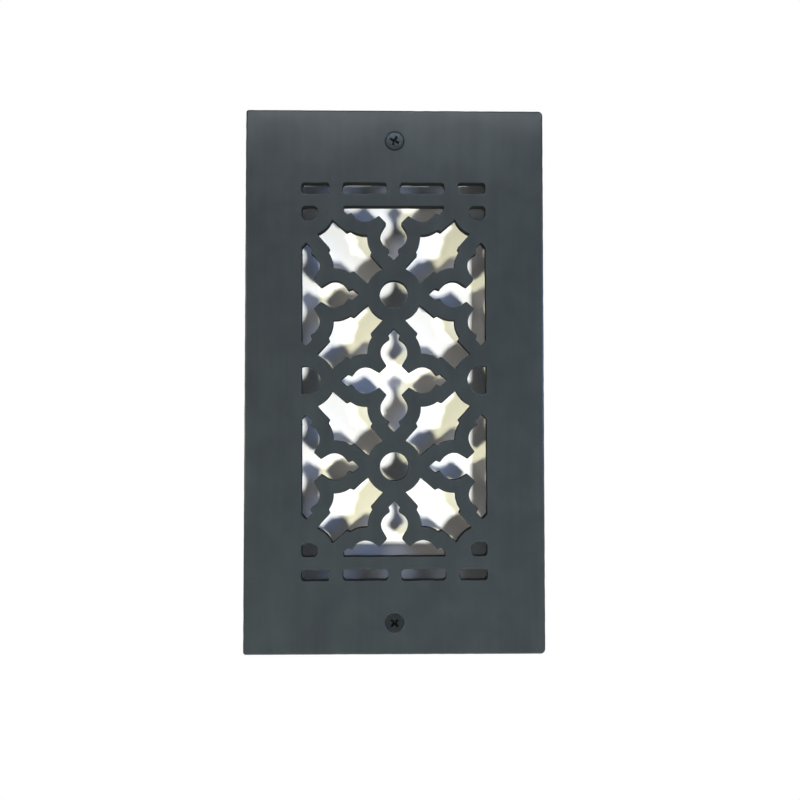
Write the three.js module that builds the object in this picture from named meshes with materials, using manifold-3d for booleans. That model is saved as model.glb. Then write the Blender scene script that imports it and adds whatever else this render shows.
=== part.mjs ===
// A wall grille: one cast plate, pierced with a lattice of crosses, circles and petals,
// and held by two countersunk wood screws on its centre line.
// Millimetres, +Z up. The front looks along -Y, and the back lies flat in the plane y = 0.
// The origin is on the back face, on the centre line, in the upper margin under the screw.

import * as THREE from 'three';
import { mergeVertices } from 'three/addons/utils/BufferGeometryUtils.js';
import Module from 'manifold-3d';

// The plate
const PLATE_WIDTH = 139.7;
const PLATE_HEIGHT = 254;
const PLATE_THICKNESS = 5.5;
const FRONT_EDGE_RADIUS = 0.8;
// A corner's radius, seen from the front, is larger than the front edge's by this much.
const CORNER_EXTRA_RADIUS = 0.4;

// The margins, from the plate's edges inwards
const SIDE_MARGIN = 26.85;
const END_MARGIN = 34;
const SLOT_HEIGHT = 5.2;
const SLOT_TO_FIELD = 5.8;

// One row of slots: two long ones in the middle, and short ones that fill up to the field's width
const LONG_SLOT_LENGTH = 20.8;
const SLOT_GAP = 6.1;
const SLOT_CORNER_RADIUS = 1.2;

// The lattice: crosses and circles take turns on the corners of its tiles, with a petal inside each tile.
const TILES_ACROSS = 2;
const TILES_UP = 4;
// The field's sides and ends cut the outermost crosses and circles this far beyond their centres.
const SIDE_OVERRUN = 2.2;
const END_OVERRUN = 1.3;
const CIRCLE_RADIUS = 6.55;
const CORNER_CIRCLE_RADIUS = 5.5;
const LIMB_TO_CIRCLE = 9.4;
const BAND_WIDTH = 6.15;
const RING_WIDTH = 6.4;
const OPENING_CORNER_RADIUS = 0.6;

// One limb of a cross, as shares of its length from the cross's centre to its tip
const HEART_EDGE = 0.295;
const KNEE_HALF_WIDTH = 0.139;
const BULGE_CENTRE = 0.537;
const BULGE_RADIUS = 0.254;
const NECK_CENTRE = 0.795;
const NECK_HALF_WIDTH = 0.08;
const BUD_CENTRE = 0.873;
const BUD_HALF_WIDTH = 0.111;

// A petal's two lobes: how much wider each half is at its root than in its middle, and how far the notch
// at the root lies out from the cusp beside it
const LOBE_TAPER = 0.25;
const NOTCH_SETBACK = 0.65;

// The screws
const SCREW_END_DISTANCE = 14.5;
const SCREW_LENGTH = 38.1;
const HEAD_DIAMETER = 8.5;
const HEAD_EDGE_EASE = 0.15;
const HEAD_FACE_EASE = 0.3;
const HEAD_CONE_ANGLE = 82;
const SHANK_DIAMETER = 4.1;
const ROOT_DIAMETER = 2.9;
const PLAIN_SHANK_LENGTH = 9.5;
const POINT_LENGTH = 6;
const THREAD_PITCH = 3.175;
const THREAD_HALF_WIDTH = 0.55;
const THREAD_ROOT_SINK = 0.3;
const THREAD_END_TO_TIP = 2;
const RECESS_SPAN = 4.4;
const RECESS_WIDTH = 1.25;
const RECESS_DEPTH = 2.3;
const RECESS_FLOOR_SHARE = 0.35;
const UPPER_SCREW_TURN = 24;
const LOWER_SCREW_TURN = 45;

// The screws' holes, and the gap kept between a screw's head and its countersink
const COUNTERSINK_EXTRA_RADIUS = 0.5;
const HOLE_EXTRA_RADIUS = 0.35;
const SEAT_GAP = 0.3;

// How finely round forms are divided, the largest share of a straight run that one eased corner takes,
// and how far a cutter stands past what it cuts
const ARC_STEP = 18;
const CORNER_STEP = 50;
const SHARP_TURN = 28;
const EDGE_STEPS = 4;
const SCREW_SIDES = 20;
const THREAD_STEPS_PER_TURN = 10;
const CORNER_RUN_SHARE = 0.48;
const MERGE_DISTANCE = 1e-4;
const CUT_MARGIN = 1;

const PLATE_FINISH = { color: 0x434a4f, roughness: 0.62, metalness: 0.35 };
const SCREW_FINISH = { color: 0x2a2e32, roughness: 0.5, metalness: 0.6 };

// Sizes worked out from the ones above
const fieldWidth = PLATE_WIDTH - 2 * SIDE_MARGIN;
const fieldHeight = PLATE_HEIGHT - 2 * (END_MARGIN + SLOT_HEIGHT + SLOT_TO_FIELD);
const tile = (fieldHeight - 2 * END_OVERRUN) / TILES_UP;
const tileWidth = (fieldWidth - 2 * SIDE_OVERRUN) / TILES_ACROSS;
const limbLength = tile - CIRCLE_RADIUS - LIMB_TO_CIRCLE;
const slotRowHeight = PLATE_HEIGHT / 2 - END_MARGIN - SLOT_HEIGHT / 2;
const screwHeight = PLATE_HEIGHT / 2 - SCREW_END_DISTANCE;
const headRadius = HEAD_DIAMETER / 2;
const shankRadius = SHANK_DIAMETER / 2;
const rootRadius = ROOT_DIAMETER / 2;
const countersinkRadius = headRadius + COUNTERSINK_EXTRA_RADIUS;
const holeRadius = shankRadius + HOLE_EXTRA_RADIUS;
const coneHalfAngle = THREE.MathUtils.degToRad(HEAD_CONE_ANGLE / 2);
const coneSlope = Math.tan(coneHalfAngle);
const headSink = (COUNTERSINK_EXTRA_RADIUS - SEAT_GAP / Math.cos(coneHalfAngle)) / coneSlope;
const screwTip = headSink + SCREW_LENGTH;
const pointStart = screwTip - POINT_LENGTH;
const plainShankEnd = headSink + PLAIN_SHANK_LENGTH;
const originHeight = (slotRowHeight + SLOT_HEIGHT / 2 + screwHeight - countersinkRadius) / 2;

const { degToRad } = THREE.MathUtils;
const at = (x, z) => new THREE.Vector2(x, z);
const wasm = await Module();
wasm.setup();

// Solids

function toSolid(geometry) {
  const bare = geometry.clone();
  bare.deleteAttribute('normal');
  bare.deleteAttribute('uv');
  const merged = mergeVertices(bare, MERGE_DISTANCE);
  const vertProperties = new Float32Array(merged.getAttribute('position').array);
  const triVerts = new Uint32Array(merged.getIndex().array);
  return new wasm.Manifold(new wasm.Mesh({ numProp: 3, vertProperties, triVerts }));
}

function toGeometry(solid) {
  const mesh = solid.getMesh();
  const geometry = new THREE.BufferGeometry();
  geometry.setAttribute('position', new THREE.BufferAttribute(mesh.vertProperties, 3));
  geometry.setIndex(new THREE.BufferAttribute(mesh.triVerts, 1));
  geometry.computeVertexNormals();
  return geometry;
}

// Outlines, in the plane of the plate with x to the right and z up, turning to the left all the way round

function arc(centre, radius, from, to) {
  const steps = Math.max(2, Math.ceil(Math.abs(to - from) / degToRad(ARC_STEP)));
  const points = [];
  for (let step = 0; step <= steps; step += 1) {
    const angle = from + ((to - from) * step) / steps;
    points.push(at(centre.x + radius * Math.cos(angle), centre.y + radius * Math.sin(angle)));
  }
  return points;
}

function circle(radius) {
  return arc(at(0, 0), radius, 0, 2 * Math.PI).slice(1);
}

// The angle at which a straight line from a point touches a circle, on one side or the other
function touchAngle(point, centre, radius, side) {
  const away = point.clone().sub(centre);
  return away.angle() + side * Math.acos(Math.min(1, radius / away.length()));
}

// One limb of a cross, pointing up: a shoulder, a round bulge, a narrow neck and a pointed bud
function limb() {
  const knee = at(KNEE_HALF_WIDTH, HEART_EDGE * Math.SQRT2 - KNEE_HALF_WIDTH).multiplyScalar(limbLength);
  const neck = at(NECK_HALF_WIDTH, NECK_CENTRE).multiplyScalar(limbLength);
  const bud = at(BUD_HALF_WIDTH, BUD_CENTRE).multiplyScalar(limbLength);
  const tip = at(0, limbLength);
  const bulge = at(0, BULGE_CENTRE * limbLength);
  const bulgeRadius = BULGE_RADIUS * limbLength;
  const from = touchAngle(knee, bulge, bulgeRadius, 1) - 2 * Math.PI;
  const to = touchAngle(neck, bulge, bulgeRadius, -1);
  const right = [knee, ...arc(bulge, bulgeRadius, from, to), neck, bud];
  const left = right.map((point) => at(-point.x, point.y)).reverse();
  return [...right, tip, ...left];
}

function cross() {
  const points = [];
  for (let quarter = 0; quarter < 4; quarter += 1) {
    const turn = (quarter * Math.PI) / 2;
    points.push(...limb().map((point) => point.rotateAround(at(0, 0), turn)));
  }
  return points;
}

// A petal, its long axis pointing to the right. Bands of even width part it from the circles beyond its
// two lobes and from the four bulges beside it, so its sides are arcs about their centres.
function petal() {
  const reach = tile / Math.SQRT2;
  const endRadius = CIRCLE_RADIUS + RING_WIDTH;
  const lobeHalfWidth = reach - limbLength / Math.SQRT2 - BAND_WIDTH;
  const endAngle = Math.asin((lobeHalfWidth - LOBE_TAPER) / endRadius);
  const end = arc(at(reach, 0), endRadius, Math.PI, Math.PI - endAngle);

  const bulgeReach = (BULGE_CENTRE * limbLength) / Math.SQRT2;
  const bulge = at(bulgeReach, reach - bulgeReach);
  const sideRadius = BULGE_RADIUS * limbLength + BAND_WIDTH;
  const cuspReach = (reach - Math.sqrt(2 * sideRadius ** 2 - (reach - 2 * bulgeReach) ** 2)) / 2;
  const corner = at(0, bulge.y - Math.sqrt(sideRadius ** 2 - bulge.x ** 2));
  const cusp = at(cuspReach, cuspReach);
  const notch = at(cuspReach + NOTCH_SETBACK, lobeHalfWidth + LOBE_TAPER);
  const from = cusp.clone().sub(bulge).angle();
  const to = corner.clone().sub(bulge).angle();

  const quarter = [...end, notch, ...arc(bulge, sideRadius, from, to)];
  return [
    ...quarter,
    ...quarter.slice(0, -1).reverse().map((point) => at(-point.x, point.y)),
    ...quarter.slice(1).map((point) => at(-point.x, -point.y)),
    ...quarter.slice(1, -1).reverse().map((point) => at(point.x, -point.y)),
  ];
}

function rectangle(width, height) {
  return [
    at(width / 2, height / 2),
    at(-width / 2, height / 2),
    at(-width / 2, -height / 2),
    at(width / 2, -height / 2),
  ];
}

// What is left of an outline on the near side of a line: points whose distance along the direction
// is within the limit
function cutByLine(points, direction, limit) {
  const kept = [];
  points.forEach((point, index) => {
    const next = points[(index + 1) % points.length];
    const here = point.dot(direction) - limit;
    const there = next.dot(direction) - limit;
    if (here <= 0) {
      kept.push(point);
    }
    if (here * there < 0) {
      kept.push(point.clone().lerp(next, here / (here - there)));
    }
  });
  return kept;
}

function cutByField(points) {
  const sides = cutByLine(cutByLine(points, at(1, 0), fieldWidth / 2), at(-1, 0), fieldWidth / 2);
  return cutByLine(cutByLine(sides, at(0, 1), fieldHeight / 2), at(0, -1), fieldHeight / 2);
}

// Rounds each sharp corner of an outline, as far as the straight runs beside it allow
function easeCorners(points, radius) {
  const eased = [];
  points.forEach((point, index) => {
    const before = points[(index + points.length - 1) % points.length].clone().sub(point);
    const after = points[(index + 1) % points.length].clone().sub(point);
    const turn = Math.PI - Math.acos(before.dot(after) / (before.length() * after.length()));
    if (turn < degToRad(SHARP_TURN)) {
      eased.push(point);
      return;
    }
    const shorterRun = Math.min(before.length(), after.length());
    const run = Math.min(radius * Math.tan(turn / 2), CORNER_RUN_SHARE * shorterRun);
    const start = point.clone().add(before.clone().setLength(run));
    const finish = point.clone().add(after.clone().setLength(run));
    const curve = new THREE.QuadraticBezierCurve(start, point, finish);
    eased.push(...curve.getPoints(Math.ceil(turn / degToRad(CORNER_STEP))));
  });
  return eased;
}

// The openings of the lattice

function isCircle(column, row) {
  return (column + row) % 2 === 0;
}

function cornerOpening(column, row) {
  if (!isCircle(column, row)) {
    return cross();
  }
  const atSide = column === 0 || column === TILES_ACROSS;
  const atEnd = row === 0 || row === TILES_UP;
  return circle(atSide && atEnd ? CORNER_CIRCLE_RADIUS : CIRCLE_RADIUS);
}

function tileOpening(column, row) {
  const turn = isCircle(column, row) ? Math.PI / 4 : -Math.PI / 4;
  return petal().map((point) => point.rotateAround(at(0, 0), turn));
}

// Puts an outline at a place counted in tiles from the lattice's first corner. The pattern is drawn on
// square tiles, and stretched sideways to the tiles' true width.
function onLattice(points, column, row) {
  const stretch = tileWidth / tile;
  const centre = at((column - TILES_ACROSS / 2) * tileWidth, (row - TILES_UP / 2) * tile);
  return points.map((point) => at(centre.x + point.x * stretch, centre.y + point.y));
}

function latticeOpenings() {
  const openings = [];
  for (let column = 0; column <= TILES_ACROSS; column += 1) {
    for (let row = 0; row <= TILES_UP; row += 1) {
      openings.push(onLattice(cornerOpening(column, row), column, row));
      if (column < TILES_ACROSS && row < TILES_UP) {
        openings.push(onLattice(tileOpening(column, row), column + 0.5, row + 0.5));
      }
    }
  }
  return openings.map((opening) => easeCorners(cutByField(opening), OPENING_CORNER_RADIUS));
}

function slotRowOpenings(height) {
  const shortLength = (fieldWidth - 3 * SLOT_GAP - 2 * LONG_SLOT_LENGTH) / 2;
  const lengths = [shortLength, LONG_SLOT_LENGTH, LONG_SLOT_LENGTH, shortLength];
  const openings = [];
  let left = -fieldWidth / 2;
  lengths.forEach((length) => {
    const centre = at(left + length / 2, height);
    const slot = easeCorners(rectangle(length, SLOT_HEIGHT), SLOT_CORNER_RADIUS);
    openings.push(slot.map((point) => point.add(centre)));
    left += length + SLOT_GAP;
  });
  return openings;
}

// The plate

// An outline drawn out from a plane behind the front, towards the front
function drawnForward(points, depth, edge = {}) {
  const geometry = new THREE.ExtrudeGeometry(new THREE.Shape(points), {
    depth,
    bevelEnabled: false,
    ...edge,
  });
  return geometry.rotateX(Math.PI / 2);
}

function blankPlate() {
  const cornerRadius = FRONT_EDGE_RADIUS + CORNER_EXTRA_RADIUS;
  const outline = easeCorners(rectangle(PLATE_WIDTH, PLATE_HEIGHT), cornerRadius);
  const rounded = drawnForward(outline, PLATE_THICKNESS - FRONT_EDGE_RADIUS, {
    bevelEnabled: true,
    bevelThickness: FRONT_EDGE_RADIUS,
    bevelSize: FRONT_EDGE_RADIUS,
    bevelOffset: -FRONT_EDGE_RADIUS,
    bevelSegments: EDGE_STEPS,
  });
  const behind = new THREE.BoxGeometry(
    PLATE_WIDTH + 2 * CUT_MARGIN,
    PLATE_THICKNESS,
    PLATE_HEIGHT + 2 * CUT_MARGIN,
  );
  behind.translate(0, PLATE_THICKNESS / 2, 0);
  return toSolid(rounded).subtract(toSolid(behind));
}

function openingCutter(points) {
  const cutter = drawnForward(points, PLATE_THICKNESS + 2 * CUT_MARGIN);
  return toSolid(cutter.translate(0, CUT_MARGIN, 0));
}

// A body turned about the y axis, its profile given as radius and depth from the front of the plate
function turned(profile) {
  const points = profile.map(([radius, depth]) => at(radius, depth - PLATE_THICKNESS));
  return toSolid(new THREE.LatheGeometry(points, SCREW_SIDES));
}

function screwHoleCutter(height) {
  const mouthRadius = countersinkRadius + CUT_MARGIN * coneSlope;
  const coneEnd = (countersinkRadius - holeRadius) / coneSlope;
  const profile = [
    [0, -CUT_MARGIN],
    [mouthRadius, -CUT_MARGIN],
    [holeRadius, coneEnd],
    [holeRadius, PLATE_THICKNESS + CUT_MARGIN],
    [0, PLATE_THICKNESS + CUT_MARGIN],
  ];
  return turned(profile).translate([0, 0, height]);
}

function grillePlate() {
  const openings = [
    ...latticeOpenings(),
    ...slotRowOpenings(slotRowHeight),
    ...slotRowOpenings(-slotRowHeight),
  ];
  const cutters = [
    ...openings.map(openingCutter),
    screwHoleCutter(screwHeight),
    screwHoleCutter(-screwHeight),
  ];
  const plate = cutters.reduce((body, cutter) => body.subtract(cutter), blankPlate());
  return toGeometry(plate);
}

// The screws

// The helix that a thread's section follows, from the end of the plain shank nearly to the point
class ThreadPath extends THREE.Curve {
  constructor(start, finish) {
    super();
    this.start = start;
    this.finish = finish;
  }

  getPoint(t, target = new THREE.Vector3()) {
    const depth = THREE.MathUtils.lerp(this.start, this.finish, t);
    const turn = ((depth - this.start) / THREAD_PITCH) * 2 * Math.PI;
    const radius = coreRadiusAt(depth);
    return target.set(radius * Math.cos(turn), depth - PLATE_THICKNESS, radius * Math.sin(turn));
  }

  // The section stands square to the screw's axis all the way, with its own x outwards
  computeFrenetFrames(segments) {
    const frames = { tangents: [], normals: [], binormals: [] };
    for (let segment = 0; segment <= segments; segment += 1) {
      const place = segment / segments;
      const outwards = this.getPointAt(place).setY(0).normalize();
      frames.tangents.push(this.getTangentAt(place));
      frames.normals.push(outwards);
      frames.binormals.push(new THREE.Vector3(0, 1, 0));
    }
    return frames;
  }
}

function coreRadiusAt(depth) {
  const share = THREE.MathUtils.clamp((depth - pointStart) / POINT_LENGTH, 0, 1);
  return rootRadius * (1 - share);
}

function screwCore() {
  const coneEnd = headSink + (headRadius - shankRadius) / coneSlope;
  return turned([
    [0, headSink],
    [headRadius - HEAD_FACE_EASE, headSink],
    [headRadius - HEAD_EDGE_EASE * coneSlope, headSink + HEAD_EDGE_EASE],
    [shankRadius, coneEnd],
    [shankRadius, plainShankEnd],
    [rootRadius, plainShankEnd + shankRadius - rootRadius],
    [rootRadius, pointStart],
    [0, screwTip],
  ]);
}

function screwThread() {
  const finish = screwTip - THREAD_END_TO_TIP;
  const section = new THREE.Shape([
    at(-THREAD_ROOT_SINK, -THREAD_HALF_WIDTH),
    at(shankRadius - rootRadius, 0),
    at(-THREAD_ROOT_SINK, THREAD_HALF_WIDTH),
  ]);
  const turns = (finish - plainShankEnd) / THREAD_PITCH;
  const geometry = new THREE.ExtrudeGeometry(section, {
    steps: Math.ceil(turns * THREAD_STEPS_PER_TURN),
    extrudePath: new ThreadPath(plainShankEnd, finish),
  });
  return toSolid(geometry);
}

// One wing of the recess in a screw's head, narrower at its floor
function recessWing(turn) {
  const depth = RECESS_DEPTH + headSink;
  const wing = new THREE.CylinderGeometry(RECESS_FLOOR_SHARE, 1, depth, 4);
  wing.rotateY(Math.PI / 4);
  wing.scale(RECESS_SPAN / Math.SQRT2, 1, RECESS_WIDTH / Math.SQRT2);
  wing.rotateY(turn);
  return toSolid(wing.translate(0, depth / 2 - PLATE_THICKNESS, 0));
}

function screw(turn) {
  const angle = degToRad(turn);
  const body = screwCore().add(screwThread());
  return toGeometry(body.subtract(recessWing(angle)).subtract(recessWing(angle + Math.PI / 2)));
}

// The grille

function piece(name, geometry, finish) {
  const mesh = new THREE.Mesh(geometry, new THREE.MeshStandardMaterial(finish));
  mesh.name = name;
  return mesh;
}

const upperScrew = piece('upper_screw', screw(UPPER_SCREW_TURN), SCREW_FINISH);
upperScrew.position.z = screwHeight;

const lowerScrew = piece('lower_screw', screw(LOWER_SCREW_TURN), SCREW_FINISH);
lowerScrew.position.z = -screwHeight;

const grille = new THREE.Group();
grille.add(piece('grille_plate', grillePlate(), PLATE_FINISH), upperScrew, lowerScrew);
grille.position.z = -originHeight;

export default grille;
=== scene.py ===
"""The looks of a cast wall grille, built around its measured solids.

The grille is one plate of cast metal, pierced with a lattice of crosses, circles and petals between two
rows of slots, and held by a countersunk wood screw above and one below. Sizes in the classes are
millimetres where they don't say metres, and what is built is in metres: +X to the right, the front towards
-Y, +Z up. An outline is a list of 2D points, x to the right and z up, and turns to the left.
"""

import logging
import math
from collections.abc import Iterator, Sequence
from dataclasses import dataclass
from enum import Enum
from functools import cached_property

import bmesh
import bpy
from bmesh.types import BMEdge, BMesh
from bpy.types import ID, Material, NodeSocket, NodeTree, Object, World
from mathutils import Euler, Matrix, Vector, noise

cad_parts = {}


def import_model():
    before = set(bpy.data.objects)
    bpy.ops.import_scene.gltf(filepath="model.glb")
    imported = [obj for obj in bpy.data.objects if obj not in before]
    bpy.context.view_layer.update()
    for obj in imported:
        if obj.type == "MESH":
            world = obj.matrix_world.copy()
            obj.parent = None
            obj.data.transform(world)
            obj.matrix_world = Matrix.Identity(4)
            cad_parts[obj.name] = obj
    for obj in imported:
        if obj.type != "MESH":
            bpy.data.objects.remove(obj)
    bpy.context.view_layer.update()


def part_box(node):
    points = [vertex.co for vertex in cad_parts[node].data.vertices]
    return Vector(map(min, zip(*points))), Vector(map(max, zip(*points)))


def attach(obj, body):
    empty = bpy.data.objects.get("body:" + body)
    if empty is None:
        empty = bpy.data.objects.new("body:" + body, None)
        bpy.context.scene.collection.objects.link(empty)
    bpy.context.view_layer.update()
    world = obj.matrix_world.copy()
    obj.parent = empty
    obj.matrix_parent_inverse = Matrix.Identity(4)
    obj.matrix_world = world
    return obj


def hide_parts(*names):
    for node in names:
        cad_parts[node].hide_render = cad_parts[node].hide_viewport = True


MM = 0.001
BODY = "root"
UPPER_RECESS_TURN = math.radians(-24)
LOWER_RECESS_TURN = math.radians(45)
LOG = logging.getLogger("wall_grille")

Outline = list[Vector]
Pair = tuple[float, float]
Triple = tuple[float, float, float]
Colour = Triple

# A box's corners, from the upper right one round to the left.
CORNERS = ((1, 1), (-1, 1), (-1, -1), (1, -1))
WHITE: Colour = (1.0, 1.0, 1.0)


class Slot(Enum):
    """The record's material slots."""

    PLATE = "cast_plate"
    SCREW = "black_screw"


class Node(Enum):
    """The solids that the pieces stand for."""

    PLATE = "grille_plate"
    UPPER_SCREW = "upper_screw"
    LOWER_SCREW = "lower_screw"


# Outlines


def point(x: float, z: float) -> Vector:
    """A point of an outline."""
    return Vector((x, z))


def arc(centre: Vector, radius: float, start: float, end: float, step: float) -> Outline:
    """Draws a stretch of a circle.

    Args:
        centre: The circle's centre.
        radius: Its radius.
        start: The angle of the first point, in radians.
        end: The angle of the last point.
        step: The largest angle between two points.

    Returns:
        The points, both ends among them.
    """
    steps = max(2, math.ceil(abs(end - start) / step))
    angles = (start + (end - start) * index / steps for index in range(steps + 1))
    return [centre + radius * point(math.cos(angle), math.sin(angle)) for angle in angles]


def turned(points: Outline, angle: float) -> Outline:
    """An outline turned about its own centre by an angle in radians."""
    cosine, sine = math.cos(angle), math.sin(angle)
    return [point(p.x * cosine - p.y * sine, p.x * sine + p.y * cosine) for p in points]


def rounded_box(low: Vector, high: Vector, radii: Sequence[float], step: float) -> Outline:
    """Draws a box with rounded corners.

    Args:
        low: Its lower left corner.
        high: Its upper right corner.
        radii: The radius of each corner, in the order of CORNERS.
        step: The largest angle between two points of a corner.

    Returns:
        The outline.
    """
    outline = []
    for number, ((across, up), radius) in enumerate(zip(CORNERS, radii)):
        corner = point(high.x if across > 0 else low.x, high.y if up > 0 else low.y)
        centre = corner - radius * point(across, up)
        start = number * math.pi / 2
        outline += arc(centre, radius, start, start + math.pi / 2, step)
    return outline


def touch_angle(outside: Vector, centre: Vector, radius: float, side: int) -> float:
    """The angle, on a circle, at which a straight line from a point outside touches it."""
    away = outside - centre
    return math.atan2(away.y, away.x) + side * math.acos(min(1.0, radius / away.length))


def neighbours(points: Outline) -> Iterator[tuple[Vector, Vector, Vector]]:
    """Each point of an outline, between the one before it and the one after it."""
    return zip(points[-1:] + points[:-1], points, points[1:] + points[:1])


def cut_by_line(points: Outline, direction: Vector, limit: float) -> Outline:
    """Keeps the part of an outline that lies no further along a direction than a limit.

    Args:
        points: The outline.
        direction: The direction in which distance is measured.
        limit: The distance at which it is cut.

    Returns:
        The outline on the near side, with new points on the cut.
    """
    kept = []
    for _, here, after in neighbours(points):
        past, past_after = here.dot(direction) - limit, after.dot(direction) - limit
        if past <= 0:
            kept.append(here)
        if past * past_after < 0:
            kept.append(here.lerp(after, past / (past - past_after)))
    return kept


def ease_corners(points: Outline, radius: float, sharp_turn: float, step: float) -> Outline:
    """Rounds each sharp corner of an outline, as far as the straight runs beside it allow.

    Args:
        points: The outline.
        radius: The radius that a corner gets where there is room.
        sharp_turn: The turn above which a corner is rounded, in radians.
        step: The turn between two points of a rounded corner.

    Returns:
        The eased outline.
    """
    run_share = 0.48
    eased = []
    for previous, corner, following in neighbours(points):
        before, after = previous - corner, following - corner
        cosine = max(-1.0, min(1.0, before.dot(after) / (before.length * after.length)))
        turn = math.pi - math.acos(cosine)
        if turn < sharp_turn:
            eased.append(corner)
            continue
        run = min(radius * math.tan(turn / 2), run_share * before.length, run_share * after.length)
        first = corner + before.normalized() * run
        last = corner + after.normalized() * run
        steps = math.ceil(turn / step)
        for place in (number / steps for number in range(steps + 1)):
            eased.append(first.lerp(corner, place).lerp(corner.lerp(last, place), place))
    return eased


def divided(points: Outline, longest: float) -> Outline:
    """Divides the long runs of an outline into equal shorter ones.

    Args:
        points: The outline.
        longest: The length above which a run is divided.

    Returns:
        The same outline with more points.
    """
    finer = []
    for _, here, after in neighbours(points):
        parts = max(1, math.ceil((after - here).length / longest))
        finer.extend(here.lerp(after, part / parts) for part in range(parts))
    return finer


def grown(points: Outline, distance: float) -> Outline:
    """Moves the sides of an outline outwards.

    Args:
        points: The outline.
        distance: How far, or inwards where it is negative.

    Returns:
        The moved outline, point by point.
    """
    moved = []
    for previous, here, following in neighbours(points):
        before, after = (here - previous).normalized(), (following - here).normalized()
        normals = point(before.y, -before.x), point(after.y, -after.x)
        bisector = (normals[0] + normals[1]) / (1 + normals[0].dot(normals[1]))
        moved.append(here + bisector * distance)
    return moved


@dataclass(frozen=True)
class HandCast:
    """The slight unevenness of an outline that a sand mould leaves."""

    depth: float = 0.16
    wavelength: float = 7.5
    longest_run: float = 1.3

    def roughened(self, points: Outline, inwards_only: bool = False) -> Outline:
        """Wavers an outline a little.

        Args:
            points: The true outline.
            inwards_only: Whether no point may move outwards.

        Returns:
            The uneven outline, divided finely enough to show it.
        """
        fine = divided(points, self.longest_run)
        ahead = grown(fine, self.depth)
        uneven = []
        for here, outside in zip(fine, ahead):
            sway = noise.noise(Vector((here.x, here.y, 0)) / self.wavelength)
            share = -abs(sway) if inwards_only else sway
            uneven.append(here + (outside - here) * share)
        return uneven


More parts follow.
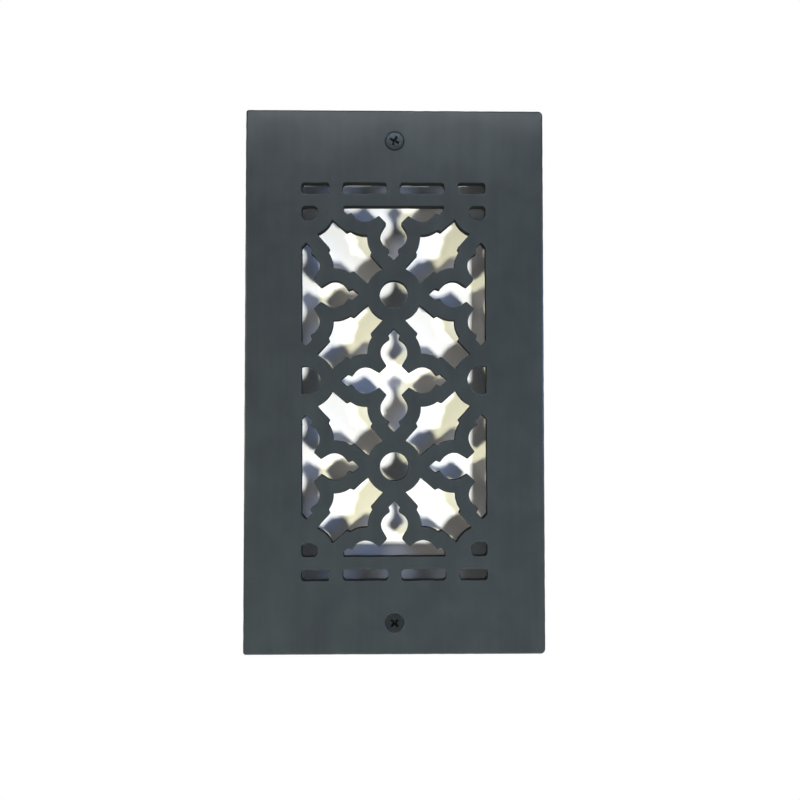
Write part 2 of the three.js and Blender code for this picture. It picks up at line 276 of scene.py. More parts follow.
@dataclass(frozen=True)
class LatticePattern:
    """The pierced field: crosses and circles take turns on the corners of its tiles, a petal in each tile.

    The sizes from heart_edge to bud_half_width shape a cross's limb and are shares of its length.
    """

    width: float
    height: float
    tiles_across: int = 2
    tiles_up: int = 4
    side_overrun: float = 2.2
    end_overrun: float = 1.3
    circle_radius: float = 6.55
    corner_hole_reach: float = 5.5
    corner_hole_radius: float = 4.1
    corner_hole_outer_radius: float = 1.7
    corner_hole_side_radius: float = 2.4
    corner_hole_inset: float = 0.05
    limb_to_circle: float = 9.4
    blunting: float = 1.2
    band_width: float = 6.15
    ring_width: float = 6.4
    corner_radius: float = 0.6
    heart_edge: float = 0.295
    knee_half_width: float = 0.139
    bulge_centre: float = 0.537
    bulge_share: float = 0.254
    neck_centre: float = 0.795
    neck_half_width: float = 0.08
    bud_centre: float = 0.873
    bud_half_width: float = 0.111
    lobe_taper: float = 0.25
    notch_setback: float = 0.65
    arc_step: float = math.radians(6)
    corner_step: float = math.radians(18)
    sharp_turn: float = math.radians(28)

    @property
    def tile(self) -> float:
        """A tile's height, and its width before the pattern is stretched."""
        return (self.height - 2 * self.end_overrun) / self.tiles_up

    @property
    def tile_width(self) -> float:
        """A tile's true width."""
        return (self.width - 2 * self.side_overrun) / self.tiles_across

    @property
    def limb_length(self) -> float:
        """From a cross's centre to the tip of a limb."""
        return self.tile - self.circle_radius - self.limb_to_circle

    @property
    def bulge_radius(self) -> float:
        """The radius of the round bulge in a limb."""
        return self.bulge_share * self.limb_length

    def circle(self) -> Outline:
        """A whole circle about the origin."""
        return arc(point(0, 0), self.circle_radius, 0, 2 * math.pi, self.arc_step)[1:]

    def corner_hole(self, across: int, up: int) -> Outline:
        """The small hole in a corner of the field, round but for two flattened sides.

        Args:
            across: 1 in the left corners, where the field lies to the right, or -1.
            up: 1 in the lower corners, or -1.

        Returns:
            The outline, about the corner of the tiles.
        """
        outer = point(self.side_overrun - self.corner_hole_inset, self.end_overrun - self.corner_hole_inset)
        ends = point(-across * outer.x, -up * outer.y), self.corner_hole_reach * point(across, up)
        low = point(min(end.x for end in ends), min(end.y for end in ends))
        high = point(max(end.x for end in ends), max(end.y for end in ends))
        special = {(across, up): self.corner_hole_radius, (-across, -up): self.corner_hole_outer_radius}
        radii = [special.get(corner, self.corner_hole_side_radius) for corner in CORNERS]
        return rounded_box(low, high, radii, self.corner_step)

    def limb(self) -> Outline:
        """Draws one limb of a cross: a shoulder, a round bulge, a narrow neck and a pointed bud.

        Returns:
            The limb, pointing up, from its right knee over the tip to its left one.
        """
        length = self.limb_length
        knee = length * point(self.knee_half_width, self.heart_edge * math.sqrt(2) - self.knee_half_width)
        neck = length * point(self.neck_half_width, self.neck_centre)
        bud = length * point(self.bud_half_width, self.bud_centre)
        bulge = length * point(0, self.bulge_centre)
        start = touch_angle(knee, bulge, self.bulge_radius, 1)
        end = touch_angle(neck, bulge, self.bulge_radius, -1)
        right = [knee, *arc(bulge, self.bulge_radius, start, end, self.arc_step), neck, bud]
        left = [point(-p.x, p.y) for p in reversed(right)]
        return [*right, point(0, length), *left]

    def cross(self) -> Outline:
        """The opening of four limbs."""
        return [p for quarter in range(4) for p in turned(self.limb(), quarter * math.pi / 2)]

    def petal(self) -> Outline:
        """Draws a petal, its sides at an even distance from the circles and bulges around it.

        Returns:
            The outline about the petal's centre, with its long axis to the right.
        """
        reach = self.tile / math.sqrt(2)
        end_radius = self.circle_radius + self.ring_width
        lobe_half_width = reach - self.limb_length / math.sqrt(2) - self.band_width
        end_angle = math.asin((lobe_half_width - self.lobe_taper) / end_radius)
        end = arc(point(reach, 0), end_radius, math.pi, math.pi - end_angle, self.arc_step)

        bulge_reach = self.bulge_centre * self.limb_length / math.sqrt(2)
        bulge = point(bulge_reach, reach - bulge_reach)
        side_radius = self.bulge_radius + self.band_width
        half_chord = math.sqrt(2 * side_radius**2 - (reach - 2 * bulge_reach) ** 2)
        cusp_reach = (reach - half_chord) / 2
        corner = point(0, bulge.y - math.sqrt(side_radius**2 - bulge.x**2))
        cusp = point(cusp_reach, cusp_reach)
        notch = point(cusp_reach + self.notch_setback, lobe_half_width + self.lobe_taper)
        to_cusp, to_corner = cusp - bulge, corner - bulge
        start, finish = math.atan2(to_cusp.y, to_cusp.x), math.atan2(to_corner.y, to_corner.x)

        quarter = [*end, notch, *arc(bulge, side_radius, start, finish, self.arc_step)]
        return [
            *quarter,
            *(point(-p.x, p.y) for p in reversed(quarter[:-1])),
            *(point(-p.x, -p.y) for p in quarter[1:]),
            *(point(p.x, -p.y) for p in reversed(quarter[1:-1])),
        ]

    def is_circle(self, column: int, row: int) -> bool:
        """Whether the opening at a corner of the tiles is a circle, and not a cross."""
        return (column + row) % 2 == 0

    def corner_opening(self, column: int, row: int) -> Outline:
        """The opening at a corner of the tiles. A cross cut in half at the top or bottom has blunt limbs.

        Args:
            column: The corner's place across, from the left.
            row: Its place up, from the bottom.

        Returns:
            The outline about that corner.
        """
        if not self.is_circle(column, row):
            cross = self.cross()
            if row in (0, self.tiles_up):
                for side in (1, -1):
                    cross = cut_by_line(cross, point(side, 0), self.limb_length - self.blunting)
            return cross
        if column in (0, self.tiles_across) and row in (0, self.tiles_up):
            return self.corner_hole(-1 if column else 1, -1 if row else 1)
        return self.circle()

    def tile_opening(self, column: int, row: int) -> Outline:
        """The petal inside a tile."""
        return turned(self.petal(), math.pi / 4 if self.is_circle(column, row) else -math.pi / 4)

    def placed(self, points: Outline, column: float, row: float) -> Outline:
        """Puts an outline in its place, stretched sideways to the tiles' true width.

        Args:
            points: The outline.
            column: Its place across, counted in tiles from the left.
            row: Its place up, counted from the bottom.

        Returns:
            The outline about the field's centre.
        """
        stretch = self.tile_width / self.tile
        centre_x = (column - self.tiles_across / 2) * self.tile_width
        centre_z = (row - self.tiles_up / 2) * self.tile
        return [point(centre_x + p.x * stretch, centre_z + p.y) for p in points]

    def cut_by_field(self, points: Outline) -> Outline:
        """Cuts off what lies outside the field.

        Args:
            points: An outline about the field's centre.

        Returns:
            What is left of it.
        """
        for direction, limit in (((1, 0), self.width), ((0, 1), self.height)):
            for sign in (1, -1):
                points = cut_by_line(points, sign * Vector(direction), limit / 2)
        return points

    def openings(self) -> list[Outline]:
        """Draws all openings of the lattice.

        Returns:
            Their outlines about the field's centre.
        """
        outlines = []
        for column in range(self.tiles_across + 1):
            for row in range(self.tiles_up + 1):
                outlines.append(self.placed(self.corner_opening(column, row), column, row))
                if column < self.tiles_across and row < self.tiles_up:
                    outlines.append(self.placed(self.tile_opening(column, row), column + 0.5, row + 0.5))
        return [
            ease_corners(self.cut_by_field(outline), self.corner_radius, self.sharp_turn, self.corner_step)
            for outline in outlines
        ]


@dataclass(frozen=True)
class SlotRow:
    """A row of slots: two long ones in the middle, and short ones that fill up to the field's width."""

    width: float
    height: float = 5.2
    long_length: float = 20.8
    gap: float = 6.1
    corner_radius: float = 1.6
    corner_step: float = math.radians(15)

    def openings(self, centre_height: float) -> list[Outline]:
        """Draws the slots of the row.

        Args:
            centre_height: The height of the row above the field's centre.

        Returns:
            Their outlines about the field's centre, from the left.
        """
        short_length = (self.width - 3 * self.gap - 2 * self.long_length) / 2
        outlines = []
        left = -self.width / 2
        for length in (short_length, self.long_length, self.long_length, short_length):
            low = point(left, centre_height - self.height / 2)
            high = point(left + length, centre_height + self.height / 2)
            outlines.append(rounded_box(low, high, [self.corner_radius] * 4, self.corner_step))
            left += length + self.gap
        return outlines


# Pieces


def linked(name: str, data: ID) -> Object:
    """Adds an object to the scene.

    Args:
        name: Its name.
        data: Its mesh, lamp or camera.

    Returns:
        The object, at the origin.
    """
    added = bpy.data.objects.new(name, data)
    bpy.context.scene.collection.objects.link(added)
    return added


def finished(bm: BMesh, name: str, closed: bool = True) -> Object:
    """Turns a bmesh into an object.

    Args:
        bm: The bmesh, in metres and in place. It is freed.
        name: The object's name.
        closed: Whether it is a solid, whose faces are turned outwards.

    Returns:
        The object.
    """
    if closed:
        bmesh.ops.recalc_face_normals(bm, faces=bm.faces[:])
    mesh = bpy.data.meshes.new(name)
    bm.to_mesh(mesh)
    bm.free()
    return linked(name, mesh)


def hand_over(piece: Object, node: Node, material: Material) -> None:
    """Dresses a piece and puts it in its solid's place.

    Args:
        piece: The piece.
        node: The solid that it stands for.
        material: Its finish.
    """
    piece.data.materials.append(material)
    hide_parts(node.value)
    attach(piece, BODY)
    LOG.info("%s stands for %s with %d faces", piece.name, node.value, len(piece.data.polygons))


@dataclass(frozen=True)
class Ring:
    """One ring of a wall through the plate: how far outside its outline, and how deep behind the front."""

    offset: float
    depth: float


@dataclass
class GrillePlate:
    """The cast plate, with its lattice, its slots and its two countersunk holes."""

    material: Material
    width: float
    height: float
    thickness: float
    centre_z: float
    side_margin: float = 26.85
    end_margin: float = 34.0
    slot_to_field: float = 5.8
    left_corner_radius: float = 1.3
    right_corner_radius: float = 2.2
    corner_step: float = math.radians(12)
    border_front_radius: float = 0.8
    opening_front_radius: float = 0.3
    back_radius: float = 0.2
    round_steps: int = 3
    wall_support: float = 0.25
    hole_radius: float = 2.4
    countersink_radius: float = 4.75
    countersink_slope: float = math.tan(math.radians(41))
    countersink_arris: float = 0.1
    hole_step: float = math.radians(7.5)
    screw_end_distance: float = 14.5
    pattern_shift: Pair = (-0.27, -0.20)
    pattern_stretch: Pair = (1.0035, 0.9984)
    pattern_turn: float = math.radians(0.17)
    casting: HandCast = HandCast()

    @property
    def screw_reach(self) -> float:
        """From the plate's centre to a screw."""
        return self.height / 2 - self.screw_end_distance

    def as_cast(self, outline: Outline) -> Outline:
        """Moves an outline to where the casting's pattern lies, a little off the centre and askew."""
        stretched = [point(p.x * self.pattern_stretch[0], p.y * self.pattern_stretch[1]) for p in outline]
        return [p + point(*self.pattern_shift) for p in turned(stretched, self.pattern_turn)]

    def openings(self) -> list[Outline]:
        """Draws the lattice and both rows of slots.

        Returns:
            Their outlines about the plate's centre.
        """
        field_width = self.width - 2 * self.side_margin
        row = SlotRow(field_width)
        lattice_height = self.height - 2 * (self.end_margin + row.height + self.slot_to_field)
        row_height = self.height / 2 - self.end_margin - row.height / 2
        lattice = LatticePattern(field_width, lattice_height)
        outlines = [*lattice.openings(), *row.openings(row_height), *row.openings(-row_height)]
        return [self.as_cast(outline) for outline in outlines]

    def rounded_wall(self, front_radius: float, side: int) -> list[Ring]:
        """The rings of a wall with rounded arrises, from the back to the front.

        Args:
            front_radius: The radius of the front arris.
            side: 1 around an opening, where the arrises lean outwards, or -1 on the plate's border.

        Returns:
            The rings.
        """
        quarter = [math.pi / 2 * step / self.round_steps for step in range(self.round_steps + 1)]
        back, front = (
            [(side * radius * (1 - math.cos(angle)), radius * (1 - math.sin(angle))) for angle in quarter]
            for radius in (self.back_radius, front_radius)
        )
        return [
            *(Ring(offset, self.thickness - depth) for offset, depth in reversed(back)),
            Ring(0, self.thickness - self.back_radius - self.wall_support),
            Ring(0, front_radius + self.wall_support),
            *(Ring(offset, depth) for offset, depth in front),
        ]

    @property
    def screw_hole_wall(self) -> list[Ring]:
        """The rings of a countersunk hole, from the back to the front, about the hole's own radius."""
        sink = self.countersink_radius - self.hole_radius
        cone_depth = sink / self.countersink_slope
        return [
            Ring(self.back_radius, self.thickness),
            Ring(0, self.thickness - self.back_radius),
            Ring(0, cone_depth + self.countersink_arris),
            Ring(self.countersink_arris, cone_depth - self.countersink_arris),
            Ring(sink - self.countersink_arris * self.countersink_slope, self.countersink_arris),
            Ring(sink + self.countersink_arris, 0),
        ]

    def add_wall(
        self, bm: BMesh, outline: Outline, rings: Sequence[Ring]
    ) -> tuple[list[BMEdge], list[BMEdge]]:
        """Adds the wall that runs along an outline through the plate.

        Args:
            bm: The plate's bmesh.
            outline: The outline, about the plate's centre.
            rings: The wall's rings, from the back to the front.

        Returns:
            The edges of its loop on the back and of its loop on the front.
        """
        loops = []
        for ring in rings:
            y = (ring.depth - self.thickness) * MM
            points = grown(outline, ring.offset)
            verts = [bm.verts.new((p.x * MM, y, (p.y + self.centre_z) * MM)) for p in points]
            loops.append([bm.edges.new((verts[i - 1], vert)) for i, vert in enumerate(verts)])
        for behind, ahead in zip(loops, loops[1:]):
            made = bmesh.ops.bridge_loops(bm, edges=[*behind, *ahead])
            for face in made["faces"]:
                face.smooth = True
        return loops[0], loops[-1]

    def build(self) -> Object:
        """Builds the plate's mesh: the walls along all outlines, joined by a back and a front face.

        Returns:
            The plate.
        """
        bm = bmesh.new()
        reach = point(self.width / 2, self.height / 2)
        left, right = self.left_corner_radius, self.right_corner_radius
        border = rounded_box(-reach, reach, (right, left, left, right), self.corner_step)
        border = self.casting.roughened(border, inwards_only=True)
        walls = [(border, self.rounded_wall(self.border_front_radius, -1))]
        around_opening = self.rounded_wall(self.opening_front_radius, 1)
        walls += [(self.casting.roughened(outline), around_opening) for outline in self.openings()]
        for side in (1, -1):
            centre = point(0, side * self.screw_reach)
            hole = arc(centre, self.hole_radius, 0, 2 * math.pi, self.hole_step)[1:]
            walls.append((hole, self.screw_hole_wall))
        backs, fronts = zip(*(self.add_wall(bm, outline, rings) for outline, rings in walls))
        for loops, towards in ((backs, 1), (fronts, -1)):
            edges = [edge for loop in loops for edge in loop]
            bmesh.ops.triangle_fill(bm, use_beauty=True, edges=edges, normal=(0, towards, 0))
        return finished(bm, "cast_plate")

    def dress(self, piece: Object) -> None:
        """Gives the plate its coating."""
        hand_over(piece, Node.PLATE, self.material)


@dataclass
class WoodScrew:
    """A countersunk wood screw with a cross recess, pointing into the wall.

    The steps of its rim are counted in head_edge, inwards and deep. The crest of its thread rises from
    first_crest of its height and falls to last_crest.
    """

    material: Material
    node: Node
    plate_thickness: float
    height: float
    recess_turn: float
    sink: float = 0.118
    length: float = 38.1
    head_radius: float = 4.25
    head_edge: float = 0.15
    rim_steps: tuple[Pair, ...] = ((3.0, 0.0), (1.6, 0.3))
    cone_slope: float = math.tan(math.radians(41))
    cone_fillet: float = 0.1
    shank_fillet: float = 0.15
    shank_radius: float = 2.05
    root_radius: float = 1.45
    plain_length: float = 9.5
    point_length: float = 6.0
    point_fullness: float = 0.55
    pitch: float = 3.175
    crest_half_width: float = 0.08
    first_crest: float = 0.1
    last_crest: float = 0.3
    thread_half_width: float = 0.5
    thread_root_sink: float = 0.3
    thread_end_to_tip: float = 1.2
    recess_span: float = 4.4
    recess_width: float = 1.2
    recess_depth: float = 2.3
    recess_floor_share: float = 0.35
    sides: int = 48
    steps_per_turn: int = 30
    merge_distance: float = 0.001
    sharp_angle: float = math.radians(38)

    def spun(self, profile: Sequence[Pair]) -> BMesh:
        """A body of revolution about the screw's axis.

        Args:
            profile: Pairs of radius and depth behind the front of the plate, from axis to axis.

        Returns:
            A closed bmesh in millimetres, with depth along +Y.
        """
        bm = bmesh.new()
        verts = [bm.verts.new((radius, depth, 0)) for radius, depth in profile]
        edges = [bm.edges.new(pair) for pair in zip(verts, verts[1:])]
        bmesh.ops.spin(
            bm, geom=[*verts, *edges], cent=(0, 0, 0), axis=(0, 1, 0), dvec=(0, 0, 0),
            angle=2 * math.pi, steps=self.sides, use_merge=True, use_duplicate=False,
        )
        bmesh.ops.remove_doubles(bm, verts=bm.verts[:], dist=self.merge_distance)
        return bm

    def core(self) -> BMesh:
        """The head, the plain shank, the thread's root and the point.

        Returns:
            A closed bmesh, as from spun.
        """
        top = self.sink
        tip = top + self.length
        cone_end = top + (self.head_radius - self.shank_radius) / self.cone_slope
        plain_end = top + self.plain_length
        rim = [
            (self.head_radius - inward * self.head_edge, top + deep * self.head_edge)
            for inward, deep in (*self.rim_steps, (self.cone_slope, 1.0))
        ]
        return self.spun([
            (0, top),
            *rim,
            (self.shank_radius + self.cone_fillet, cone_end - self.cone_fillet),
            (self.shank_radius, cone_end + self.shank_fillet),
            (self.shank_radius, plain_end),
            (self.root_radius, plain_end + self.shank_radius - self.root_radius),
            (self.root_radius, tip - self.point_length),
            (self.root_radius * self.point_fullness, tip - self.point_length / 2),
            (0, tip),
        ])

    def core_radius(self, depth: float) -> float:
        """The radius of the thread's root at a depth."""
        to_tip = self.sink + self.length - depth
        return self.root_radius * min(1.0, max(0.0, to_tip / self.point_length))

    def thread(self) -> BMesh:
        """The thread: one section swept along a helix, low where it starts and ends.

        Returns:
            A closed bmesh in millimetres, with depth along +Y.
        """
        start = self.sink + self.plain_length
        finish = self.sink + self.length - self.thread_end_to_tip
        turns = (finish - start) / self.pitch
        steps = math.ceil(turns * self.steps_per_turn)
        crest, inner = self.shank_radius, self.root_radius - self.thread_root_sink
        narrow, wide = self.crest_half_width, self.thread_half_width
        section = (inner, -wide), (crest, -narrow), (crest, narrow), (inner, wide)
        bm = bmesh.new()
        verts = [bm.verts.new((radius, start + along, 0)) for radius, along in section]
        face = bm.faces.new(verts)
        bmesh.ops.spin(
            bm, geom=[*verts, *face.edges, face], cent=(0, 0, 0), axis=(0, 1, 0),
            dvec=(0, (finish - start) / steps, 0), angle=-2 * math.pi * turns, steps=steps,
            use_merge=False, use_duplicate=False,
        )
        for vert in bm.verts:
            radius = math.hypot(vert.co.x, vert.co.z)
            root = self.core_radius(vert.co.y)
            shrink = root / self.root_radius
            begun = min(1.0, max(0.0, (vert.co.y - start) / self.pitch))
            wanted = root - self.thread_root_sink * shrink
            if radius > self.root_radius:
                ending = self.last_crest + (1 - self.last_crest) * shrink
                starting = self.first_crest + (1 - self.first_crest) * begun
                wanted = root + (radius - self.root_radius) * ending * starting
            vert.co.x *= wanted / radius
            vert.co.z *= wanted / radius
        return bm

    def recess_cutter(self) -> BMesh:
        """The cutter of the cross recess, narrower at the floor.

        Returns:
            A closed bmesh in millimetres, with depth along +Y.
        """
        overshoot = 0.4
        reach, half_width = self.recess_span / 2, self.recess_width / 2
        arm = [point(reach, -half_width), point(reach, half_width), point(half_width, half_width)]
        outline = [p for step in range(4) for p in turned(arm, self.recess_turn + step * math.pi / 2)]
        bm = bmesh.new()
        top = 1 + overshoot / self.recess_depth, self.sink - overshoot
        floor = self.recess_floor_share, self.sink + self.recess_depth
        rims = [
            [bm.verts.new((p.x * share, depth, p.y * share)) for p in outline]
            for share, depth in (top, floor)
        ]
        for rim in rims:
            bm.faces.new(rim)
        for index, (outer, inner) in enumerate(zip(*rims)):
            bm.faces.new((rims[0][index - 1], outer, inner, rims[1][index - 1]))
        return bm

    def build(self) -> Object:
        """Builds the screw's mesh, its thread joined to its core and its recess cut.

        Returns:
            The screw.
        """
        piece = finished(self.core(), self.node.value.replace("_", "_wood_"))
        tools = [
            (finished(self.thread(), "thread"), "UNION"),
            (finished(self.recess_cutter(), "recess"), "DIFFERENCE"),
        ]
        for tool, operation in tools:
            joining = piece.modifiers.new(tool.name, "BOOLEAN")
            joining.object = tool
            joining.operation = operation
            joining.solver = "EXACT"
        graph = bpy.context.evaluated_depsgraph_get()
        mesh = bpy.data.meshes.new_from_object(piece.evaluated_get(graph))
        piece.modifiers.clear()
        piece.data = mesh
        for tool, _ in tools:
            bpy.data.objects.remove(tool)
        for vert in mesh.vertices:
            x, depth, z = vert.co
            vert.co = Vector((x, depth - self.plate_thickness, z + self.height)) * MM
        mesh.shade_smooth()
        mesh.set_sharp_from_angle(angle=self.sharp_angle)
        return piece

    def dress(self, piece: Object) -> None:
        """Gives the screw its finish."""
        hand_over(piece, self.node, self.material)


# Finishes


def opaque(colour: Colour) -> tuple[float, ...]:
    """A colour with full alpha."""
    return (*colour, 1.0)


class NodeSheet:
    """A shader node tree that is filled node by node."""

    # The colour sockets of the Mix node, which has a set of sockets for each type.
    MIX_SHARE, MIX_FIRST, MIX_SECOND, MIX_RESULT = 0, 6, 7, 2

    def __init__(self, tree: NodeTree) -> None:
        """Starts on a tree."""
        self.tree = tree

    def add(self, kind: str, inputs: dict | None = None, **settings: object) -> bpy.types.Node:
        """Adds a node.

        Args:
            kind: The node's type, without its ShaderNode prefix.
            inputs: Values or sockets for its inputs, by name or number.
            **settings: Values for its own properties.

        Returns:
            The node.
        """
        node = self.tree.nodes.new("ShaderNode" + kind)
        for name, value in settings.items():
            setattr(node, name, value)
        self.feed(node, inputs or {})
        return node

    def group(self, group: NodeTree, inputs: dict) -> bpy.types.Node:
        """Adds a node group and feeds it."""
        return self.add("Group", inputs, node_tree=group)

    def feed(self, node: bpy.types.Node, inputs: dict) -> None:
        """Links or sets a node's inputs.

        Args:
            node: The node.
            inputs: Values or sockets for its inputs, by name or number.
        """
        for name, value in inputs.items():
            if isinstance(value, NodeSocket):
                self.tree.links.new(value, node.inputs[name])
            else:
                node.inputs[name].default_value = value

    def math(self, operation: str, *values: object, clamp: bool = False) -> NodeSocket:
        """Adds a sum of up to three values and returns its result."""
        return self.add("Math", dict(enumerate(values)), operation=operation, use_clamp=clamp).outputs[0]

    def noise(self, place: object, size: object, look: dict[str, float]) -> NodeSocket:
        """Adds noise with features of a size in metres and returns its value."""
        inputs = {"Vector": place, "Scale": self.math("DIVIDE", 1.0, size), **look}
        return self.add("TexNoise", inputs).outputs[0]

    def ranged(self, value: NodeSocket, span: Pair, onto: Pair = (0.0, 1.0)) -> NodeSocket:
        """Maps a value softly from one range onto another and returns it."""
        inputs = dict(zip(("Value", "From Min", "From Max", "To Min", "To Max"), (value, *span, *onto)))
        return self.add("MapRange", inputs, interpolation_type="SMOOTHSTEP").outputs[0]

    def mix(self, share: object, first: object, second: object) -> NodeSocket:
        """Mixes two colours, with a share of the second, and returns the result."""
        inputs = {self.MIX_SHARE: share, self.MIX_FIRST: first, self.MIX_SECOND: second}
        return self.add("Mix", inputs, data_type="RGBA").outputs[self.MIX_RESULT]


def new_group(
    name: str, inputs: Sequence[str], outputs: Sequence[str]
) -> tuple[NodeSheet, bpy.types.Node, bpy.types.Node]:
    """Starts a shader node group.

    Args:
        name: The group's name.
        inputs: The names of its inputs, which are numbers, apart from one called Vector.
        outputs: The names of its outputs.

    Returns:
        The sheet, the node of the group's inputs and the node of its outputs.
    """
    tree = bpy.data.node_groups.new(name, "ShaderNodeTree")
    for direction, sockets in (("INPUT", inputs), ("OUTPUT", outputs)):
        for socket in sockets:
            kind = "NodeSocketVector" if socket == "Vector" else "NodeSocketFloat"
            tree.interface.new_socket(socket, in_out=direction, socket_type=kind)
    return NodeSheet(tree), tree.nodes.new("NodeGroupInput"), tree.nodes.new("NodeGroupOutput")


@dataclass
class SurfaceEffects:
    """The shader node groups that both finishes share, each built once, with sizes in metres.

    A span is the range of a value that is spread out.
    """

    mottle_span: Pair = (0.15, 0.85)
    streak_span: Pair = (0.2, 0.8)
    streak_squash: Triple = (1.0, 1.0, 0.06)
    bevel_samples: int = 6
    arris_span: Pair = (0.995, 0.85)
    patch_span: Pair = (0.35, 0.65)
    least_patch: float = 0.15
    side_span: Pair = (0.95, 0.45)

    @cached_property
    def cast_skin(self) -> NodeTree:
        """The skin of a coated casting: fine grain, soft mottling, and faint upright streaks."""
        sheet, given, result = new_group(
            "cast_skin", ("Vector", "Grain", "Mottle", "Streak"), ("Grain", "Mottle", "Streaks")
        )
        place, grain_size, mottle_size, streak_size = given.outputs[:4]
        upright = sheet.add("Mapping", {"Vector": place, "Scale": self.streak_squash}).outputs[0]
        fine = {"Detail": 3.0, "Roughness": 0.6}
        mottle = sheet.noise(place, mottle_size, {"Detail": 4.0, "Roughness": 0.55, "Distortion": 0.4})
        sheet.feed(result, {
            "Grain": sheet.noise(place, grain_size, fine),
            "Mottle": sheet.ranged(mottle, self.mottle_span),
            "Streaks": sheet.ranged(sheet.noise(upright, streak_size, fine), self.streak_span),
        })
        return sheet.tree

    @cached_property
    def edge_sheen_and_wear(self) -> NodeTree:
        """A mask along arrises, where a rounded normal parts from the true one, broken up by noise. The
        finishes paint it lighter, which is a painted highlight, and make it smoother, as rubbed coating.
        """
        sheet, given, result = new_group("edge_sheen_and_wear", ("Vector", "Radius", "Patch"), ("SheenAndWear",))
        place, radius, patch_size = given.outputs[:3]
        normals = {
            0: sheet.add("Bevel", {"Radius": radius}, samples=self.bevel_samples).outputs[0],
            1: sheet.add("NewGeometry").outputs["Normal"],
        }
        apart = sheet.add("VectorMath", normals, operation="DOT_PRODUCT").outputs["Value"]
        patches = sheet.noise(place, patch_size, {"Detail": 3.0})
        broken = sheet.ranged(patches, self.patch_span, (self.least_patch, 1.0))
        sheen_and_wear = sheet.math("MULTIPLY", sheet.ranged(apart, self.arris_span), broken, clamp=True)
        sheet.feed(result, {"SheenAndWear": sheen_and_wear})
        return sheet.tree

    @cached_property
    def sides(self) -> NodeTree:
        """The mask of the surfaces that face neither the room nor the wall, such as those inside the
        openings. The finishes paint them darker there, which is painted shade, and make them rougher.
        """
        sheet, _, result = new_group("sides", (), ("Side",))
        facing = sheet.add("SeparateXYZ", {0: sheet.add("NewGeometry").outputs["Normal"]})
        depth = sheet.math("ABSOLUTE", facing.outputs["Y"])
        sheet.feed(result, {"Side": sheet.ranged(depth, self.side_span)})
        return sheet.tree


@dataclass(frozen=True)
class Finish:
    """A coated or blackened metal surface, with its lengths in metres."""

    name: str
    deep: Colour
    light: Colour
    # The lighter colour along the arrises, which is a painted highlight.
    edge_highlight: Colour
    # The darker colour of the faces inside the openings and countersinks, which is painted shade.
    side: Colour
    side_roughness: float
    metallic: float
    roughness: Pair
    grain: float
    mottle: float
    streak: float
    grain_depth: float
    wave_depth: float
    sheen_and_wear_radius: float
    sheen_and_wear_patch: float
    sheen_and_wear_strength: float
    mottle_share: float = 0.6
    polish: float = 0.15

    def material(self, effects: SurfaceEffects) -> Material:
        """Makes the material.

        Args:
            effects: The shared node groups.

        Returns:
            The material, which reads Object coordinates.
        """
        material = bpy.data.materials.new(self.name)
        material.use_nodes = True
        sheet = NodeSheet(material.node_tree)
        shader = material.node_tree.nodes["Principled BSDF"]
        place = sheet.add("TexCoord").outputs["Object"]
        skin = sheet.group(effects.cast_skin, {
            "Vector": place, "Grain": self.grain, "Mottle": self.mottle, "Streak": self.streak,
        })
        sheen_and_wear = sheet.group(effects.edge_sheen_and_wear, {
            "Vector": place, "Radius": self.sheen_and_wear_radius, "Patch": self.sheen_and_wear_patch,
        })
        grain, mottle, streaks = (skin.outputs[name] for name in ("Grain", "Mottle", "Streaks"))
        side = sheet.group(effects.sides, {}).outputs["Side"]
        # A painted highlight along the arrises, lighter in colour, where the coating is also made smoother.
        sheen_and_wear_share = sheet.math("MULTIPLY", sheen_and_wear.outputs["SheenAndWear"], self.sheen_and_wear_strength)

        blend = sheet.math("MULTIPLY", streaks, 1 - self.mottle_share)
        blend = sheet.math("MULTIPLY_ADD", mottle, self.mottle_share, blend)
        ground = sheet.mix(blend, opaque(self.deep), opaque(self.light))
        # Painted shade: the faces inside the openings and countersinks take the darker side colour.
        ground = sheet.mix(side, ground, opaque(self.side))
        roughness = sheet.ranged(mottle, (0.0, 1.0), self.roughness)
        roughness = sheet.math("MULTIPLY_ADD", side, self.side_roughness, roughness)
        polished = sheet.math("MULTIPLY", sheen_and_wear_share, self.polish)
        height = sheet.math("MULTIPLY", grain, self.grain_depth)
        height = sheet.math("MULTIPLY_ADD", mottle, self.wave_depth, height)
        bump = sheet.add("Bump", {"Height": height, "Strength": 1.0, "Distance": 1.0})
        sheet.feed(shader, {
            "Base Color": sheet.mix(sheen_and_wear_share, ground, opaque(self.edge_highlight)),
            "Metallic": self.metallic,
            "Roughness": sheet.math("SUBTRACT", roughness, polished, clamp=True),
            "Normal": bump.outputs[0],
        })
        return material


CAST_COATING = Finish(
    name="charcoal_coating",
    deep=(0.0186, 0.0226, 0.0277),
    light=(0.0262, 0.0321, 0.0371),
    # A painted highlight along the arrises.
    edge_highlight=(0.038, 0.045, 0.052),
    # Painted shade inside the openings and countersinks.
    side=(0.008, 0.009, 0.010),
    side_roughness=0.75,
    metallic=0.0,
    roughness=(0.21, 0.245),
    grain=0.0005,
    mottle=0.014,
    streak=0.005,
    grain_depth=0.000019,
    wave_depth=0.00001,
    sheen_and_wear_radius=0.0004,
    sheen_and_wear_patch=0.005,
    sheen_and_wear_strength=0.35,
)

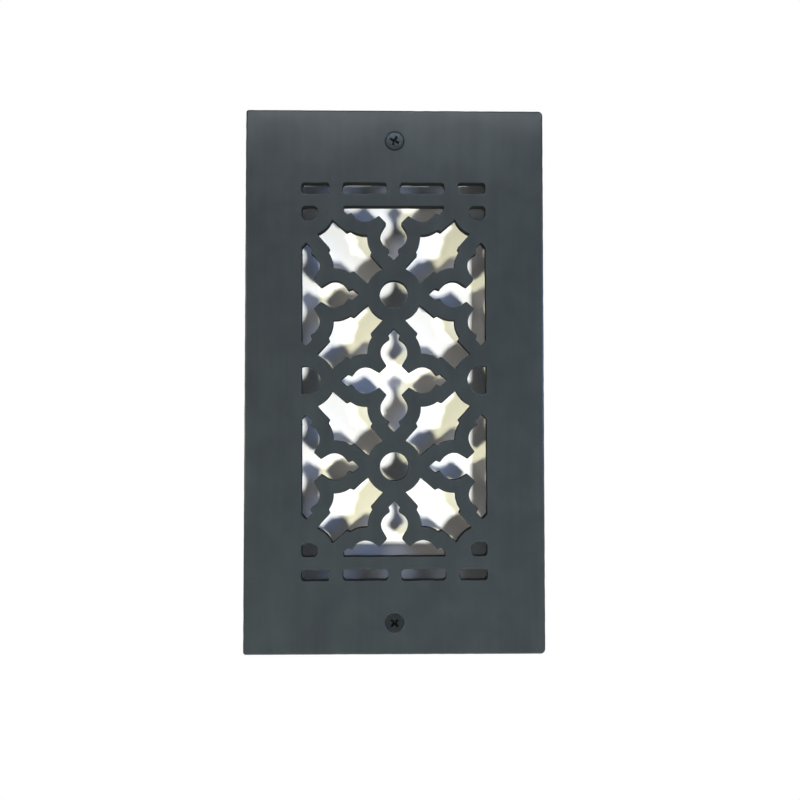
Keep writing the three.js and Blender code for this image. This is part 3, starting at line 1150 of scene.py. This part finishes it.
BLACKENED_STEEL = Finish(
    name="blackened_steel",
    deep=(0.025, 0.031, 0.037),
    light=(0.041, 0.048, 0.056),
    # A painted highlight along the edges of the screws.
    edge_highlight=(0.10, 0.105, 0.11),
    # Painted shade on the sideways faces of the screws, such as those of the recess and the shank.
    side=(0.022, 0.026, 0.030),
    side_roughness=0.08,
    metallic=0.7,
    roughness=(0.31, 0.42),
    grain=0.0003,
    mottle=0.002,
    streak=0.001,
    grain_depth=0.000006,
    wave_depth=0.000015,
    sheen_and_wear_radius=0.0002,
    sheen_and_wear_patch=0.001,
    sheen_and_wear_strength=0.5,
)


# The studio


@dataclass(frozen=True)
class SoftLamp:
    """An oblong lamp, in metres from the plate's centre. Its matt light or its sheen can be off."""

    name: str
    place: Triple
    width: float
    height: float
    power: float
    colour: Colour
    matt: bool = True
    sheen: bool = True

    def build(self, target: Vector) -> None:
        """Adds the lamp.

        Args:
            target: The plate's centre, in metres.
        """
        data = bpy.data.lights.new(self.name, "AREA")
        data.shape = "RECTANGLE"
        data.size = self.width
        data.size_y = self.height
        data.energy = self.power
        data.color = self.colour
        lamp = linked(self.name, data)
        lamp.location = target + Vector(self.place)
        lamp.rotation_euler = (-Vector(self.place)).to_track_quat("-Z", "Y").to_euler()
        lamp.visible_camera = False
        lamp.visible_diffuse = self.matt
        lamp.visible_glossy = self.sheen


@dataclass
class Studio:
    """A pale floor, a pale card close behind the openings, soft lamps and the camera."""

    plate_centre: Vector
    card_gap: float = 8.0
    card_half_width: float = 60.0
    card_half_height: float = 118.0
    floor_drop: float = 750.0
    floor_half_width: float = 1100.0
    floor_glow: float = 0.45
    paint_colour: Colour = (0.86, 0.86, 0.86)
    paint_roughness: float = 0.9
    ambient: float = 0.05
    ambient_colour: Colour = (1.0, 0.95, 0.84)
    camera_offset: Triple = (-3.064, -377.75, -20.853)
    camera_pitch: float = math.radians(1.752)
    camera_yaw: float = math.radians(-0.856)
    focal_length: float = 36.0
    sensor: float = 36.0
    nearest_seen: float = 10.0
    lamps: tuple[SoftLamp, ...] = (
        SoftLamp("warm_lamp", (-0.350, -0.549, -0.343), 0.085, 0.085, 5.7, (1.0, 0.97, 0.68), sheen=False),
        SoftLamp("cool_lamp", (0.344, -0.655, -0.312), 0.11, 0.11, 8.6, (0.99, 1.0, 0.96), sheen=False),
        SoftLamp("window_lamp", (0.55, -0.44, 0.05), 0.35, 0.35, 2.05, (0.31, 0.50, 0.98)),
        SoftLamp("room_lamp", (-0.55, -0.40, 0.04), 0.35, 0.35, 1.15, (1.0, 0.90, 0.77)),
        SoftLamp("ceiling_lamp", (-0.10, -0.42, 0.50), 0.40, 0.20, 0.95, (1.0, 0.96, 0.88), sheen=False),
        SoftLamp("sheen_lamp", (-0.02, -0.42, 0.36), 0.44, 0.045, 1.0, (0.86, 0.94, 1.0), matt=False),
        SoftLamp("back_lamp", (0.35, 0.70, 0.45), 0.80, 0.80, 13.0, WHITE, sheen=False),
    )

    def paint(self, name: str, glow: float) -> Material:
        """Makes plain pale matt paint, which is clear from behind.

        Args:
            name: The material's name.
            glow: How much brighter the camera sees it than its light makes it.

        Returns:
            The material.
        """
        material = bpy.data.materials.new(name)
        material.use_nodes = True
        sheet = NodeSheet(material.node_tree)
        shader = material.node_tree.nodes["Principled BSDF"]
        seen = sheet.add("LightPath").outputs["Is Camera Ray"]
        sheet.feed(shader, {
            "Base Color": opaque(self.paint_colour),
            "Roughness": self.paint_roughness,
            "Specular IOR Level": 0.0,
            "Emission Color": opaque(WHITE),
            "Emission Strength": sheet.math("MULTIPLY", seen, glow),
        })
        clear = sheet.add("BsdfTransparent")
        side = sheet.add("NewGeometry").outputs["Backfacing"]
        both = sheet.add("MixShader", {0: side, 1: shader.outputs[0], 2: clear.outputs[0]})
        sheet.feed(material.node_tree.nodes["Material Output"], {"Surface": both.outputs[0]})
        return material

    def flat_sheet(self, name: str, rim: Sequence[Vector], glow: float = 0.0) -> Object:
        """Adds a flat sheet to the stage.

        Args:
            name: Its name.
            rim: Its corners in millimetres from the plate's centre, turning left as seen from its front.
            glow: How much brighter the camera sees it than its light makes it.

        Returns:
            The sheet.
        """
        bm = bmesh.new()
        bm.faces.new([bm.verts.new(self.plate_centre + corner * MM) for corner in rim])
        sheet = finished(bm, name, closed=False)
        sheet.data.materials.append(self.paint(name + "_paint", glow))
        return sheet

    def backdrop(self) -> None:
        """The card behind the openings, which casts no shadow and isn't mirrored, and the floor."""
        across, up = self.card_half_width, self.card_half_height
        rim = [Vector((x * across, self.card_gap, z * up)) for x, z in CORNERS]
        card = self.flat_sheet("pale_card", rim)
        card.visible_shadow = False
        card.visible_glossy = False
        reach = self.floor_half_width
        rim = [Vector((x * reach, y * reach, -self.floor_drop)) for x, y in CORNERS]
        self.flat_sheet("pale_floor", rim, self.floor_glow)

    def world(self) -> World:
        """Dim light from all around, and plain white where the camera looks past everything.

        Returns:
            The world.
        """
        world = bpy.data.worlds.new("white_surround")
        world.use_nodes = True
        sheet = NodeSheet(world.node_tree)
        dim = world.node_tree.nodes["Background"]
        sheet.feed(dim, {"Color": opaque(self.ambient_colour), "Strength": self.ambient})
        white = sheet.add("Background", {"Color": opaque(WHITE), "Strength": 1.0})
        seen = sheet.add("LightPath").outputs["Is Camera Ray"]
        both = sheet.add("MixShader", {0: seen, 1: dim.outputs[0], 2: white.outputs[0]})
        sheet.feed(world.node_tree.nodes["World Output"], {"Surface": both.outputs[0]})
        return world

    def camera(self) -> None:
        """Puts the camera where the photograph's stood."""
        data = bpy.data.cameras.new("camera")
        data.lens = self.focal_length
        data.sensor_width = self.sensor
        data.clip_start = self.nearest_seen * MM
        camera = linked("camera", data)
        camera.location = self.plate_centre + Vector(self.camera_offset) * MM
        camera.rotation_euler = Euler((math.pi / 2 + self.camera_pitch, 0, self.camera_yaw))
        bpy.context.scene.camera = camera

    def build(self) -> None:
        """Builds all of it."""
        self.backdrop()
        self.camera()
        for lamp in self.lamps:
            lamp.build(self.plate_centre)
        bpy.context.scene.world = self.world()
        bpy.context.scene.view_settings.view_transform = "Standard"
        LOG.info("studio with %d lamps", len(self.lamps))


def main() -> None:
    """Builds the grille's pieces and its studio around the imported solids."""
    logging.basicConfig(level=logging.INFO, format="%(name)s: %(message)s")
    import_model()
    low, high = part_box(Node.PLATE.value)
    centre = (low + high) / 2
    centre.y = high.y
    effects = SurfaceEffects()
    blackened = BLACKENED_STEEL.material(effects)

    plate = GrillePlate(
        material=CAST_COATING.material(effects),
        width=(high.x - low.x) / MM,
        height=(high.z - low.z) / MM,
        thickness=(high.y - low.y) / MM,
        centre_z=centre.z / MM,
    )
    plate.dress(plate.build())

    screws = (Node.UPPER_SCREW, 1, UPPER_RECESS_TURN), (Node.LOWER_SCREW, -1, LOWER_RECESS_TURN)
    for node, side, turn in screws:
        screw = WoodScrew(
            material=blackened,
            node=node,
            plate_thickness=plate.thickness,
            height=plate.centre_z + side * plate.screw_reach,
            recess_turn=turn,
        )
        screw.dress(screw.build())

    Studio(plate_centre=centre).build()


if __name__ == "__main__":
    main()
